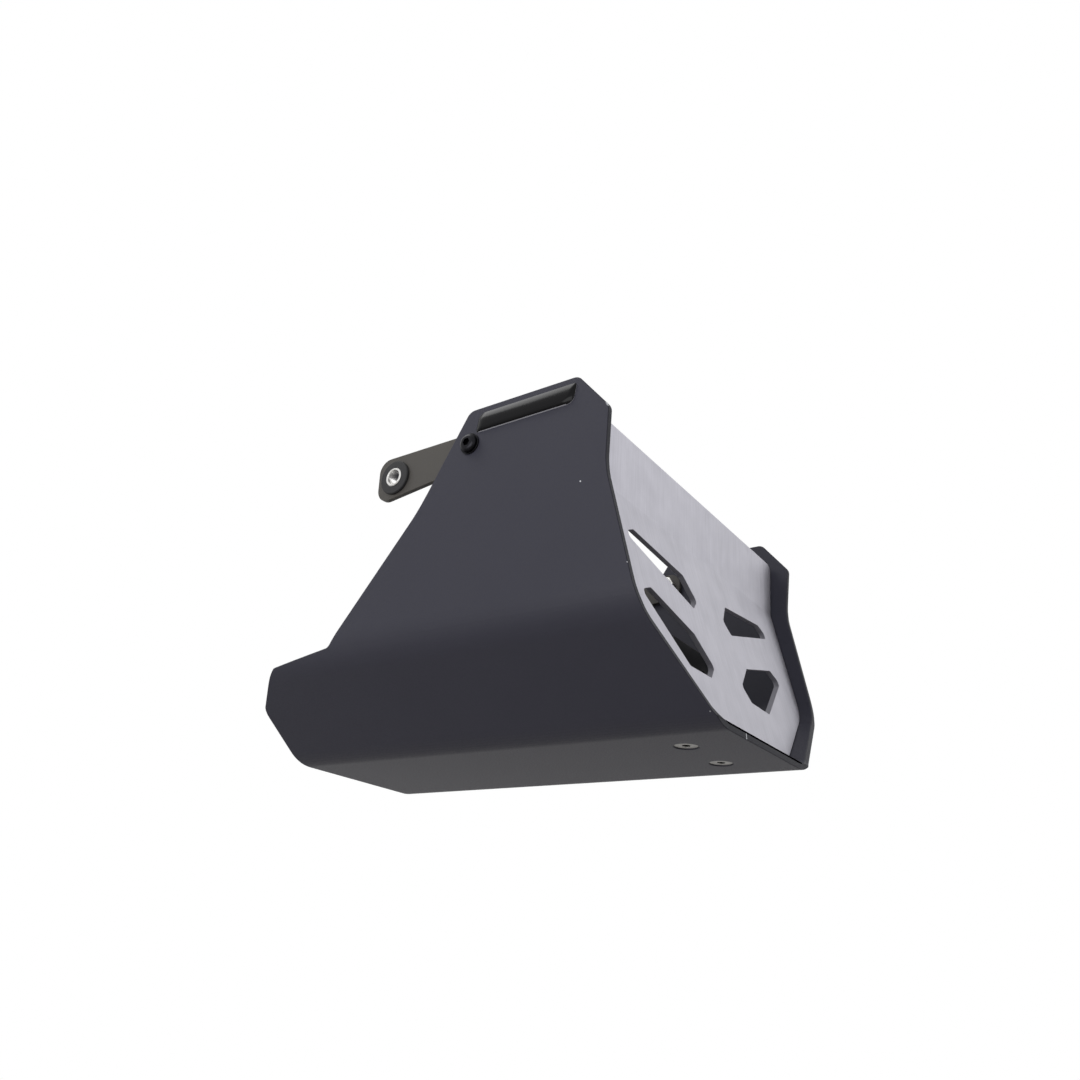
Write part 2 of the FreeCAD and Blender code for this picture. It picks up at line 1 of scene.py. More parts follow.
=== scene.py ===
"""Engine guard of a small motorbike: finishes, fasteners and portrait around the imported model.

Metres, in the model's own frame: +X to the front of the bike, +Y to its left, +Z up.
"""
import json
import math
import bpy
from mathutils import Matrix, Vector


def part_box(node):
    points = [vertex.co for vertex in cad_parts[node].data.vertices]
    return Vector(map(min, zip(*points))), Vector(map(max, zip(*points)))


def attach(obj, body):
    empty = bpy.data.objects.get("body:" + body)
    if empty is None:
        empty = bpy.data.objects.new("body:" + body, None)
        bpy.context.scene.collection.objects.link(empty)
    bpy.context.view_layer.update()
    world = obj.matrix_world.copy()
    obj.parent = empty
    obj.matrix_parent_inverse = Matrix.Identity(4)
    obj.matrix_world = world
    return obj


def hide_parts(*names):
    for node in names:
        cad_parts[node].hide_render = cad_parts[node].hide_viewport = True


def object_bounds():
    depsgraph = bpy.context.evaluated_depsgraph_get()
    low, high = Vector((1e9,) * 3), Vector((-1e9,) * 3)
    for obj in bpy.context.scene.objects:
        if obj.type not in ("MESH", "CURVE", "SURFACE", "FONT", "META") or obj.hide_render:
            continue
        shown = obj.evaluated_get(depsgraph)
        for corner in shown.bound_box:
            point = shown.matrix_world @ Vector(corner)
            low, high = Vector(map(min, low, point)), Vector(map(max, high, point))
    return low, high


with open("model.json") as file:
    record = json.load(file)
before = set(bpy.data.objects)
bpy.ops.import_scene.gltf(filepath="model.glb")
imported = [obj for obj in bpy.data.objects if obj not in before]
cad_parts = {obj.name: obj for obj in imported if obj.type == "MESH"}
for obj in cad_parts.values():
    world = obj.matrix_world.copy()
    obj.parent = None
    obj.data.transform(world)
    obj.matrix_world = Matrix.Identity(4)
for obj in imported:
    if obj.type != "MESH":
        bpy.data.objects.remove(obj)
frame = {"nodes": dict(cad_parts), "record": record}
cad_low, cad_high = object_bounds()

# Belly pan
# One aluminium sheet, laser cut, folded four times on a press brake and powder coated in fine-textured
# matt black. Handling has chipped the coat to bare metal in a few tiny places along its front.
MM = 0.001
WELD = 0.001 * MM
PAN_EDGE = 0.45
EDGE_SEGMENTS = 3
EDGE_ANGLE = math.radians(35)
FLAT_ANGLE = math.radians(0.5)
SMOOTH_ANGLE = math.radians(40)


def select_only(piece):
    """Makes one object the whole selection, for the operators that follow."""
    bpy.ops.object.select_all(action="DESELECT")
    piece.select_set(True)
    bpy.context.view_layer.objects.active = piece


def apply_modifier(piece, kind, **settings):
    """Adds a modifier, sets it and applies it."""
    modifier = piece.modifiers.new(kind.title(), kind)
    for name, value in settings.items():
        setattr(modifier, name, value)
    select_only(piece)
    bpy.ops.object.modifier_apply(modifier=modifier.name)


def smooth(piece):
    """Smooths the shading of rounded stretches and keeps flat faces flat."""
    select_only(piece)
    bpy.ops.object.shade_smooth_by_angle(angle=SMOOTH_ANGLE)
    apply_modifier(piece, "WEIGHTED_NORMAL", keep_sharp=True)


# Section of the sheet, seen from the front. Each fold has the corner where its outer faces would meet, and
# the directions of the face before it and the face after it.
SHEET = 3.5
CAD_FOLD = 17.5
FOLD_RADIUS = 28.0
FOLD_CUTS = 14
FOLD_REACH = 3.0
BOTTOM_HALF = 52.0
SHOULDER_HALF = 108.5
SHOULDER_HEIGHT = 43.0
WALL_LEAN = 3.4
FACET = math.atan2(SHOULDER_HEIGHT, SHOULDER_HALF - BOTTOM_HALF)
WALL = math.radians(90 - WALL_LEAN)
FOLDS = [((BOTTOM_HALF, 0.0), 0.0, FACET), ((SHOULDER_HALF, SHOULDER_HEIGHT), FACET, WALL)]


def reach_of(turn, half, radius, fold, shift):
    """Distance to a face of the CAD sheet from the broader fold's middle, at an angle off its bisector."""
    arc = shift * math.cos(turn) + math.sqrt(fold ** 2 - (shift * math.sin(turn)) ** 2)
    about = math.atan2(arc * math.sin(turn), arc * math.cos(turn) - shift)
    return arc if abs(about) < half else radius / math.cos(half - abs(turn))


def broaden_folds(piece):
    """Recuts the folds of the pan, and what lies along them, to the broad radius of the press tool."""
    for (corner_y, corner_z), before, after in FOLDS:
        half = (after - before) / 2
        out = (before + after) / 2 - math.pi / 2
        middle_y = corner_y - FOLD_RADIUS / math.cos(half) * math.cos(out)
        middle_z = corner_z - FOLD_RADIUS / math.cos(half) * math.sin(out)
        shift = (FOLD_RADIUS - CAD_FOLD) / math.cos(half)
        for side in (1, -1):
            select_only(piece)
            bpy.ops.object.mode_set(mode="EDIT")
            for cut in range(FOLD_CUTS + 1):
                angle = out + half * (2 * cut / FOLD_CUTS - 1)
                bpy.ops.mesh.select_all(action="SELECT")
                bpy.ops.mesh.bisect(plane_co=(0, side * middle_y * MM, middle_z * MM),
                                    plane_no=(0, -side * math.sin(angle), math.cos(angle)))
            bpy.ops.object.mode_set(mode="OBJECT")
            for vertex in piece.data.vertices:
                y = side * vertex.co.y / MM - middle_y
                z = vertex.co.z / MM - middle_z
                far = math.hypot(y, z)
                turn = math.atan2(z, y) - out
                if far < FOLD_RADIUS / 2 or abs(turn) > half:
                    continue
                outer = reach_of(turn, half, FOLD_RADIUS, CAD_FOLD, shift)
                inner = reach_of(turn, half, FOLD_RADIUS - SHEET, CAD_FOLD - SHEET, shift)
                if far > inner:
                    goal = FOLD_RADIUS - SHEET * (outer - far) / (outer - inner)
                elif far > inner - FOLD_REACH:
                    goal = far - (inner - FOLD_RADIUS + SHEET)
                else:
                    continue
                vertex.co.y = side * (middle_y + y * goal / far) * MM
                vertex.co.z = (middle_z + z * goal / far) * MM


def finished_copy(node, edge, folded=False):
    """Copy of a CAD piece with welded corners and its sharp edges rounded by so many millimetres."""
    mesh = frame["nodes"][node].data.copy()
    mesh.materials.clear()
    piece = bpy.data.objects.new(f"{node}_finished", mesh)
    bpy.context.collection.objects.link(piece)
    select_only(piece)
    bpy.ops.mesh.customdata_custom_splitnormals_clear()
    bpy.ops.object.mode_set(mode="EDIT")
    bpy.ops.mesh.select_all(action="SELECT")
    bpy.ops.mesh.remove_doubles(threshold=WELD)
    bpy.ops.object.mode_set(mode="OBJECT")
    if folded:
        broaden_folds(piece)
    bpy.ops.object.mode_set(mode="EDIT")
    bpy.ops.mesh.select_all(action="SELECT")
    bpy.ops.mesh.dissolve_limited(angle_limit=FLAT_ANGLE)
    bpy.ops.object.mode_set(mode="OBJECT")
    apply_modifier(piece, "BEVEL", width=edge * MM, segments=EDGE_SEGMENTS, limit_method="ANGLE",
                   angle_limit=EDGE_ANGLE, use_clamp_overlap=False)
    return piece


def dress(piece, node, material):
    """Gives a piece its material and lets it stand for its CAD node."""
    if not piece.data.materials:
        piece.data.materials.append(material)
    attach(piece, "root")
    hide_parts(node)


def linear(hex_colour):
    """Linear colour of an sRGB hex value."""
    levels = [int(hex_colour[at:at + 2], 16) / 255 for at in (1, 3, 5)]
    return (*[v / 12.92 if v <= 0.04045 else ((v + 0.055) / 1.055) ** 2.4 for v in levels], 1.0)


def add(tree, kind, inputs, **settings):
    """Adds a node, with its settings, and sets or links its inputs by name or number."""
    node = tree.nodes.new(kind)
    for name, value in settings.items():
        setattr(node, name, value)
    for name, value in inputs.items():
        if isinstance(value, bpy.types.NodeSocket):
            tree.links.new(value, node.inputs[name])
        else:
            node.inputs[name].default_value = value
    return node


def new_material(name):
    """Empty material: its node tree, its shader and the place on the object in metres."""
    material = bpy.data.materials.new(name)
    material.use_nodes = True
    tree = material.node_tree
    tree.nodes.clear()
    shader = add(tree, "ShaderNodeBsdfPrincipled", {})
    add(tree, "ShaderNodeOutputMaterial", {"Surface": shader.outputs["BSDF"]})
    place = add(tree, "ShaderNodeTexCoord", {}).outputs["Object"]
    return material, tree, shader, place


# Powder coat: satin black with a fine orange-peel grain. The real grain is about 0.4 mm, too fine to show,
# so it is drawn at twice that. Chips show the bare sheet.
COAT_GRAIN = 0.8
COAT_CLOUD = 45.0
COAT_RELIEF = 0.08
COAT_SHEEN = 0.27
CUT_EDGE_SHEEN = 0.1
CHIP_CORE = 0.5
BARE_METAL = "#c4c6ca"
# Stretch of a noise pattern that holds nearly all of its values
NOISE_LOW = 0.3
NOISE_HIGH = 0.7


def powder_coated(name, colour, cloud_colour, chips=(), sheen_level=COAT_SHEEN):
    """Powder coat in a colour that drifts slightly, chipped to bare metal at the given places."""
    material, tree, shader, place = new_material(name)
    cloud = add(tree, "ShaderNodeTexNoise", {"Vector": place, "Scale": 1 / (COAT_CLOUD * MM), "Detail": 3.0})
    grain = add(tree, "ShaderNodeTexNoise", {"Vector": place, "Scale": 1 / (COAT_GRAIN * MM), "Detail": 2.0})
    coat = add(tree, "ShaderNodeMix", {0: cloud.outputs["Fac"], 6: linear(colour), 7: linear(cloud_colour)},
               data_type="RGBA").outputs[2]
    sheen = add(tree, "ShaderNodeMapRange", {"Value": grain.outputs["Fac"], "From Min": NOISE_LOW,
                                             "From Max": NOISE_HIGH, "To Min": 0.44, "To Max": 0.56})
    bump = add(tree, "ShaderNodeBump", {"Height": grain.outputs["Fac"], "Strength": 0.22,
                                        "Distance": COAT_RELIEF * MM})
    tree.links.new(bump.outputs["Normal"], shader.inputs["Normal"])
    bare = None
    for (x, y, z), radius in chips:
        gap = add(tree, "ShaderNodeVectorMath", {0: place, 1: (x * MM, y * MM, z * MM)}, operation="DISTANCE")
        ragged = add(tree, "ShaderNodeMath", {0: grain.outputs["Fac"], 1: radius * MM,
                                              2: CHIP_CORE * radius * MM}, operation="MULTIPLY_ADD")
        spot = add(tree, "ShaderNodeMath", {0: gap.outputs["Value"], 1: ragged.outputs[0]},
                   operation="LESS_THAN")
        if bare is None:
            bare = spot.outputs[0]
        else:
            bare = add(tree, "ShaderNodeMath", {0: bare, 1: spot.outputs[0]}, operation="MAXIMUM").outputs[0]
    if bare is not None:
        coat = add(tree, "ShaderNodeMix", {0: bare, 6: coat, 7: linear(BARE_METAL)},
                   data_type="RGBA").outputs[2]
        tree.links.new(bare, shader.inputs["Metallic"])
    tree.links.new(coat, shader.inputs["Base Color"])
    tree.links.new(sheen.outputs["Result"], shader.inputs["Roughness"])
    shader.inputs["Specular IOR Level"].default_value = sheen_level
    return material


# Chips in the pan's coat: place in millimetres and radius
PAN_CHIPS = [
    ((96.1, -112.4, 108.0), 0.4),
    ((122.0, -109.6, 62.0), 0.22),
    ((137.8, -59.0, 5.0), 0.4),
    ((110.3, -114.7, 146.7), 0.3),
    ((110.9, -114.6, 145.9), 0.45),
    ((111.3, -114.5, 145.0), 0.3),
    ((140.0, -24.0, 0.6), 0.35),
    ((140.0, -24.1, 1.3), 0.35),
    ((140.0, -24.2, 2.0), 0.35),
    ((140.0, -24.3, 2.7), 0.35),
]

# The front edge falls back a little at the shoulders: height and setback in millimetres
FRONT_ZONE = 100.0
FRONT_FALL = [(3.5, 0.0), (8.0, 0.9), (22.0, 1.7), (42.0, 2.6), (52.0, 2.2), (65.0, 1.6), (80.0, 1.1),
              (100.0, 0.8), (114.0, 0.0)]


def front_fall(height):
    """Setback of the front edge at a height, both in millimetres."""
    for (low, start), (high, end) in zip(FRONT_FALL, FRONT_FALL[1:]):
        if low <= height <= high:
            return start + (end - start) * (height - low) / (high - low)
    return 0.0


# The pan runs along X, so faces that turn that way are its cut edges: least part of the normal that counts
PAN_CUT = 0.3


def paint_shade_on_cut_edges(piece, axis, least):
    """Gives the second material, painted darker as shade, to the faces that turn to an axis the sheet runs
    along: its cut edges.
    """
    for face in piece.data.polygons:
        if abs(getattr(face.normal, axis)) > least:
            face.material_index = 1


pan = finished_copy("belly_pan", PAN_EDGE, folded=True)
for vertex in pan.data.vertices:
    if vertex.co.x > FRONT_ZONE * MM:
        vertex.co.x = min(vertex.co.x - front_fall(vertex.co.z / MM) * MM, cad_high.x)
smooth(pan)
pan.data.materials.append(powder_coated("fine_texture_powder_coat", "#2f2f3a", "#33333e", PAN_CHIPS))
# Painted shade: the cut edges get a darker, less glossy copy of the same coat so that they look shaded.
pan.data.materials.append(powder_coated("painted_shade_coat_on_cut_edge", "#28282f", "#2b2b33", PAN_CHIPS,
                                        CUT_EDGE_SHEEN))
paint_shade_on_cut_edges(pan, "x", PAN_CUT)
dress(pan, "belly_pan", pan.data.materials[0])

# Front plate
# One aluminium sheet with four laser-cut air slots, bent near its top and folded back at its foot. It is left
# bare, brushed along its height and clear anodised, so it has fine streaks and a soft silver sheen.
PLATE_EDGE = 0.25
PLATE_CUT = 0.08
BRUSH_PITCH = 0.7
BRUSH_LENGTH = 30.0
BRUSH_RELIEF = 0.06
MILL_CLOUD = 14.0
CLOUD_SHARE = 0.35
RIDGE_PITCH = 0.4


# Brushed aluminium: silver with a soft sheen. Real brush lines are about 0.2 mm apart, too fine to show, so
# they are drawn over three times as coarse.
def brushed_aluminium():
    """Bare sheet, brushed along its height, with the faint clouds of rolled metal."""
    material, tree, shader, place = new_material("brushed_anodised_aluminium")
    stretched = add(tree, "ShaderNodeMapping", {
        "Vector": place,
        "Scale": (1 / (BRUSH_LENGTH * MM), 1 / (BRUSH_PITCH * MM), 1 / (BRUSH_LENGTH * MM)),
    })
    lines = add(tree, "ShaderNodeTexNoise", {"Vector": stretched.outputs[0], "Scale": 1.0, "Detail": 4.0,
                                             "Roughness": 0.7})
    cloud = add(tree, "ShaderNodeTexNoise", {"Vector": place, "Scale": 1 / (MILL_CLOUD * MM), "Detail": 2.0})
    mixed = add(tree, "ShaderNodeMath", {0: cloud.outputs["Fac"], 1: CLOUD_SHARE, 2: lines.outputs["Fac"]},
                operation="MULTIPLY_ADD")
    tone = add(tree, "ShaderNodeMapRange", {"Value": mixed.outputs[0], "From Min": 0.4, "From Max": 0.95})
    colour = add(tree, "ShaderNodeMix", {0: tone.outputs[0], 6: linear("#9f9ea6"), 7: linear("#bbbac2")},
                 data_type="RGBA")
    sheen = add(tree, "ShaderNodeMapRange", {"Value": lines.outputs["Fac"], "From Min": NOISE_LOW,
                                             "From Max": NOISE_HIGH, "To Min": 0.46, "To Max": 0.6})
    bump = add(tree, "ShaderNodeBump", {"Height": lines.outputs["Fac"], "Strength": 0.12,
                                        "Distance": BRUSH_RELIEF * MM})
    tree.links.new(colour.outputs[2], shader.inputs["Base Color"])
    tree.links.new(sheen.outputs[0], shader.inputs["Roughness"])
    tree.links.new(bump.outputs["Normal"], shader.inputs["Normal"])
    shader.inputs["Metallic"].default_value = 0.75
    return material


# Laser-cut aluminium: mid grey and dull, with fine ridges about 0.4 mm apart across the cut. Its grey is also
# painted darker, as painted shade in the slots and along the edges.
def laser_cut_aluminium_and_painted_shade():
    """Dull cut face of the sheet, in the slots and along its edges, its grey painted darker as shade."""
    material, tree, shader, place = new_material("laser_cut_aluminium_and_painted_shade")
    ridges = add(tree, "ShaderNodeTexNoise", {"Vector": place, "Scale": 1 / (RIDGE_PITCH * MM),
                                              "Detail": 2.0})
    colour = add(tree, "ShaderNodeMix", {0: ridges.outputs["Fac"], 6: linear("#7f7e86"),
                                         7: linear("#919098")}, data_type="RGBA")
    tree.links.new(colour.outputs[2], shader.inputs["Base Color"])
    shader.inputs["Roughness"].default_value = 0.75
    shader.inputs["Metallic"].default_value = 0.3
    return material


plate = finished_copy("front_plate", PLATE_EDGE, folded=True)
smooth(plate)
plate.data.materials.append(brushed_aluminium())
plate.data.materials.append(laser_cut_aluminium_and_painted_shade())
paint_shade_on_cut_edges(plate, "y", PLATE_CUT)
dress(plate, "front_plate", plate.data.materials[0])

# Front bracket
# Steel angle behind the plate, folded from strip, drilled for two engine bolts and powder coated black.
BRACKET_EDGE = 0.4

bracket = finished_copy("front_bracket", BRACKET_EDGE)
smooth(bracket)
dress(bracket, "front_bracket", powder_coated("black_coated_steel", "#232325", "#2a2a2c"))

# Side straps
# Flat steel straps behind the walls, laser cut and coated in satin dark grey. Each reaches back to the eye
# that takes the bike's bolt.
STRAP_EDGE = 0.4
SIDES = ("right", "left")

strap_coat = powder_coated("dark_grey_coated_steel", "#4a4845", "#524f4c")
for side in SIDES:
    strap = finished_copy(f"side_bracket_{side}", STRAP_EDGE)
    smooth(strap)
    dress(strap, f"side_bracket_{side}", strap_coat)

# Countersunk screws
# Two stainless hexagon-socket screws, turned with a rolled thread. Their heads lie just below the pan's
# underside and clamp the plate's foot and the front bracket to it.
HEAD_RADIUS = 6.15
HEAD_SINK = 0.05
HEAD_EASE = 0.3
HEAD_RIM = 0.1
HEAD_DEPTH = 3.2
TIP_CHAMFER = 0.4
THREAD_RADIUS = 3.0
THREAD_PITCH = 1.0
THREAD_DEPTH = 0.55
ROWS_PER_PITCH = 6
PLATE_SCREW_LENGTH = 19.75
KEY_FLATS = 4.0
SUNK_KEY_DEPTH = 3.0
SOCKET_MARGIN = 0.05
CUTTER_OVERRUN = 1.0
TURNING_STEPS = 64
MARK_WIDTH = 0.3
MARK_RELIEF = 0.02


def turned(name, profile):
    """Piece turned about the Z axis from a half profile of (radius, height) pairs in millimetres."""
    bpy.ops.object.select_all(action="DESELECT")
    bpy.ops.mesh.primitive_plane_add(size=MM)
    piece = bpy.context.view_layer.objects.active
    piece.name = name
    bpy.ops.object.mode_set(mode="EDIT")
    bpy.ops.mesh.merge(type="CENTER")
    bpy.ops.transform.translate(value=(profile[0][0] * MM, 0, profile[0][1] * MM))
    for (radius, height), (next_radius, next_height) in zip(profile, profile[1:]):
        step = ((next_radius - radius) * MM, 0, (next_height - height) * MM)
        bpy.ops.mesh.extrude_region_move(TRANSFORM_OT_translate={"value": step})
    bpy.ops.mesh.select_all(action="SELECT")
    bpy.ops.mesh.spin(steps=TURNING_STEPS, angle=math.tau, center=(0, 0, 0), axis=(0, 0, 1))
    bpy.ops.mesh.select_all(action="SELECT")
    bpy.ops.mesh.remove_doubles(threshold=WELD)
    bpy.ops.mesh.normals_make_consistent(inside=False)
    bpy.ops.object.mode_set(mode="OBJECT")
    return piece


def hexagon_bar(flats, low, high):
    """Upright hexagon bar about the Z axis, from its width across flats and two heights in millimetres."""
    bpy.ops.object.select_all(action="DESELECT")
    bpy.ops.mesh.primitive_cylinder_add(vertices=6, radius=flats / math.sqrt(3) * MM, depth=(high - low) * MM,
                                        location=(0, 0, (low + high) / 2 * MM), rotation=(0, 0, math.pi / 6))
    bpy.ops.object.transform_apply()
    return bpy.context.view_layer.objects.active


def combine(piece, other, operation):
    """Cuts, joins or trims a piece with another one, which is used up, and clears the slivers away."""
    apply_modifier(piece, "BOOLEAN", object=other, operation=operation, solver="EXACT")
    bpy.data.objects.remove(other)
    bpy.ops.object.mode_set(mode="EDIT")
    bpy.ops.mesh.select_all(action="SELECT")
    bpy.ops.mesh.remove_doubles(threshold=WELD)
    bpy.ops.mesh.dissolve_degenerate(threshold=WELD)
    bpy.ops.object.mode_set(mode="OBJECT")


def thread_rows(low, high):
    """Heights of the rows of points that a thread between two heights needs."""
    count = round((high - low) / THREAD_PITCH * ROWS_PER_PITCH)
    return [low + (high - low) * row / count for row in range(count + 1)]


def cut_thread(piece, low, high):
    """Presses a helical groove into the shank between two heights, running out at both ends."""
    for vertex in piece.data.vertices:
        x, y, z = vertex.co / MM
        if not low < z < high or math.hypot(x, y) < THREAD_RADIUS / 2:
            continue
        phase = (z / THREAD_PITCH - math.atan2(y, x) / math.tau) % 1.0
        run_out = min(1.0, (z - low) / THREAD_PITCH, (high - z) / THREAD_PITCH)
        groove = THREAD_DEPTH * run_out * (1 - abs(2 * phase - 1))
        vertex.co.x *= 1 - groove / THREAD_RADIUS
        vertex.co.y *= 1 - groove / THREAD_RADIUS


def set_in_place(piece, place, axis):
    """Moves a piece from the origin to its place, its own Z along an axis, and keeps that in its mesh."""
    turn = Vector((0, 0, 1)).rotation_difference(Vector(axis)).to_matrix().to_4x4()
    piece.matrix_world = Matrix.Translation(place) @ turn
    select_only(piece)
    bpy.ops.object.transform_apply()


def twin(piece, name):
    """Copy of a piece with a mesh of its own."""
    other = bpy.data.objects.new(name, piece.data.copy())
    bpy.context.collection.objects.link(other)
    return other


def middle(node):
    """Middle of a CAD node's box."""
    low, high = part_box(node)
    return (low + high) / 2


# Steel, bare or zinc plated: metallic, with turning marks about 0.3 mm wide that soften its gloss.
def steel(name, colour, gloss_low, gloss_high):
    """Turned or stamped steel of a colour, between two degrees of roughness."""
    material, tree, shader, place = new_material(name)
    marks = add(tree, "ShaderNodeTexNoise", {"Vector": place, "Scale": 1 / (MARK_WIDTH * MM), "Detail": 3.0})
    gloss = add(tree, "ShaderNodeMapRange", {"Value": marks.outputs["Fac"], "From Min": NOISE_LOW,
                                             "From Max": NOISE_HIGH, "To Min": gloss_low,
                                             "To Max": gloss_high})
    bump = add(tree, "ShaderNodeBump", {"Height": marks.outputs["Fac"], "Strength": 0.1,
                                        "Distance": MARK_RELIEF * MM})
    tree.links.new(gloss.outputs[0], shader.inputs["Roughness"])
    tree.links.new(bump.outputs["Normal"], shader.inputs["Normal"])
    shader.inputs["Base Color"].default_value = linear(colour)
    shader.inputs["Metallic"].default_value = 1.0
    return material


stainless = steel("stainless_steel", "#d8d7d5", 0.28, 0.42)
dull_stainless = steel("dull_stainless_steel", "#a2a19f", 0.36, 0.5)
# Painted shade: near-black steel for the inside of the key sockets, standing in for the shade there.
socket_painted_shade = steel("painted_shade_steel", "#2c2a28", 0.5, 0.65)


def paint_socket_shade(piece, low, high):
    """Paints the walls and floor of a key socket, between two heights in millimetres, near-black steel as
    painted shade.
    """
    piece.data.materials.append(socket_painted_shade)
    for face in piece.data.polygons:
        x, y, z = face.center / MM
        if math.hypot(x, y) < KEY_FLATS / math.sqrt(3) and low < z < high:
            face.material_index = 1


head = [(0, 0), (HEAD_RADIUS - HEAD_EASE, 0), (HEAD_RADIUS - HEAD_RIM, HEAD_RIM)]
thread_end = PLATE_SCREW_LENGTH - TIP_CHAMFER
shank = [(THREAD_RADIUS, height) for height in thread_rows(HEAD_DEPTH, thread_end)]
tip = [(THREAD_RADIUS - TIP_CHAMFER, PLATE_SCREW_LENGTH), (0, PLATE_SCREW_LENGTH)]
plate_screw = turned("plate_screw", [*head, *shank, *tip])
cut_thread(plate_screw, HEAD_DEPTH, thread_end)
combine(plate_screw, hexagon_bar(KEY_FLATS, -CUTTER_OVERRUN, SUNK_KEY_DEPTH), "DIFFERENCE")
plate_screw.data.materials.append(dull_stainless)
paint_socket_shade(plate_screw, SOCKET_MARGIN, SUNK_KEY_DEPTH + SOCKET_MARGIN)
for side in SIDES:
    screw = twin(plate_screw, f"countersunk_screw_{side}")
    seat = middle(f"plate_screw_{side}")
    seat.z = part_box(f"plate_screw_{side}")[0].z + HEAD_SINK * MM
    set_in_place(screw, seat, (0, 0, 1))
    smooth(screw)
    dress(screw, f"plate_screw_{side}", dull_stainless)
bpy.data.objects.remove(plate_screw)

# Washers
# Plain stamped washers: stainless under the two bottom nuts, black under the button heads.
WASHER_RADIUS = 6.0
WASHER_BORE = 3.3
WASHER_THICKNESS = 1.0
WASHER_ROUND = 0.2


def rounded_ring(name, bore, radius, low, high, corner):
    """Turned ring whose four edges are eased by a small corner."""
    return turned(name, [(bore, low + corner), (bore + corner, low), (radius - corner, low),
                         (radius, low + corner), (radius, high - corner), (radius - corner, high),
                         (bore + corner, high), (bore, high - corner), (bore, low + corner)])


mounts = {mount["name"]: mount for mount in frame["record"]["mounts"]}
outwards = {side: Vector(mounts[f"strap_eye_{side}"]["axis"]) for side in SIDES}
black_zinc = steel("black_zinc_steel", "#232326", 0.24, 0.38)
washer = rounded_ring("washer", WASHER_BORE, WASHER_RADIUS, -WASHER_THICKNESS / 2, WASHER_THICKNESS / 2,
                      WASHER_ROUND)
for side in SIDES:
    for node, axis, finish in ((f"plate_washer_{side}", (0, 0, 1), stainless),
                               (f"side_washer_{side}", outwards[side], black_zinc)):
        piece = twin(washer, f"stamped_{node}")
        set_in_place(piece, middle(node), axis)
        smooth(piece)
        dress(piece, node, finish)
bpy.data.objects.remove(washer)

# Lock nuts
# Stainless hexagon nuts with chamfered corners and a round collar that grips a nylon ring, which locks
# the thread.
NUT_FLATS = 10.0
NUT_HEIGHT = 6.0
HEXAGON_HEIGHT = 4.6
CHAMFER = 0.5
CHAMFER_MARGIN = 0.1
COLLAR_RADIUS = 4.4
COLLAR_EASE = (0.3, 0.4)
RING_RADIUS = 3.7
RING_SEAT = 4.7
RING_SLACK = 0.02
RING_ROUND = 0.15
NUT_BORE = 3.05
MOULD_GRAIN = 0.5

nut = hexagon_bar(NUT_FLATS, 0, HEXAGON_HEIGHT)
face_radius = NUT_FLATS / 2 - CHAMFER_MARGIN
corner_radius = NUT_FLATS / math.sqrt(3) + CHAMFER_MARGIN
combine(nut, turned("barrel", [(0, 0), (face_radius, 0), (corner_radius, CHAMFER),
                               (corner_radius, HEXAGON_HEIGHT - CHAMFER), (face_radius, HEXAGON_HEIGHT),
                               (0, HEXAGON_HEIGHT)]), "INTERSECT")
collar_foot = HEXAGON_HEIGHT - CUTTER_OVERRUN
combine(nut, turned("collar", [(0, collar_foot), (COLLAR_RADIUS, collar_foot),
                               (COLLAR_RADIUS, NUT_HEIGHT - COLLAR_EASE[1]),
                               (COLLAR_RADIUS - COLLAR_EASE[0], NUT_HEIGHT), (0, NUT_HEIGHT)]), "UNION")
bore_top = NUT_HEIGHT + CUTTER_OVERRUN
combine(nut, turned("bore", [(0, -CUTTER_OVERRUN), (NUT_BORE, -CUTTER_OVERRUN), (NUT_BORE, RING_SEAT),
                             (RING_RADIUS, RING_SEAT), (RING_RADIUS, bore_top), (0, bore_top)]), "DIFFERENCE")
insert = rounded_ring("insert", NUT_BORE, RING_RADIUS - RING_SLACK, RING_SEAT, NUT_HEIGHT - RING_ROUND,
                      RING_ROUND)

# Nylon: milky and slightly glossy, with a faint mould grain.
nylon, nylon_tree, nylon_shader, nylon_place = new_material("natural_nylon")
mould = add(nylon_tree, "ShaderNodeTexNoise", {"Vector": nylon_place, "Scale": 1 / (MOULD_GRAIN * MM)})
milk = add(nylon_tree, "ShaderNodeMix", {0: mould.outputs["Fac"], 6: linear("#d9d6c8"), 7: linear("#e4e1d4")},
           data_type="RGBA")
nylon_tree.links.new(milk.outputs[2], nylon_shader.inputs["Base Color"])
nylon_shader.inputs["Roughness"].default_value = 0.42

for side in SIDES:
    for node, axis in ((f"plate_nut_{side}", Vector((0, 0, 1))), (f"side_nut_{side}", -outwards[side])):
        foot = middle(node) - axis * NUT_HEIGHT / 2 * MM
        piece = twin(nut, f"lock_{node}")
        set_in_place(piece, foot, axis)
        smooth(piece)
        dress(piece, node, stainless)
        ring = twin(insert, f"insert_{node}")
        set_in_place(ring, foot, axis)
        smooth(ring)
        ring.data.materials.append(nylon)
        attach(ring, "root")
bpy.data.objects.remove(nut)
bpy.data.objects.remove(insert)

# Button-head screws
# Black zinc-plated hexagon-socket screws with a low domed head, through the walls and straps into the
# lock nuts.
BUTTON_RADIUS = 5.25
BUTTON_HEIGHT = 2.6
BUTTON_RIM = 0.4
BUTTON_EASE = 0.15
BUTTON_FLAT = 2.7
BUTTON_NECK = 0.6
DOME_STEPS = 8
KEY_DEPTH = 2.2
SIDE_SCREW_LENGTH = 16.0

